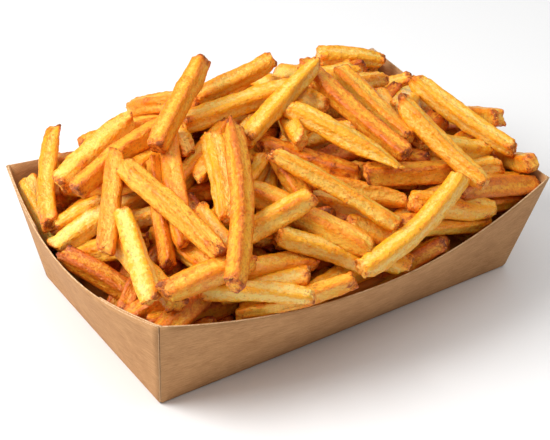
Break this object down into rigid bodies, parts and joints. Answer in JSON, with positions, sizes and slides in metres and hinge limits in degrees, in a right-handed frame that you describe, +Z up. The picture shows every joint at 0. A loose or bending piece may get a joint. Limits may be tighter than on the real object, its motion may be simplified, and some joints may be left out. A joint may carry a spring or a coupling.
{
  "type": "tray of french fries",
  "caption": "Straight-cut french fries heaped in an open kraft paperboard food tray with leaning walls whose rims dip between the corners.",
  "frame": {"origin": "middle of the tray's underside, on the surface it stands on", "axes": "+X along the tray's long side, +Y across it, +Z up out of the open top"},
  "size_m": [0.1984, 0.1456, 0.0985],
  "materials": {
    "kraft_board": "matte",
    "fried_potato": "satin"
  },
  "bodies": {
    "root": {"tray": "kraft_board", "fries": "fried_potato"}
  },
  "joints": []
}
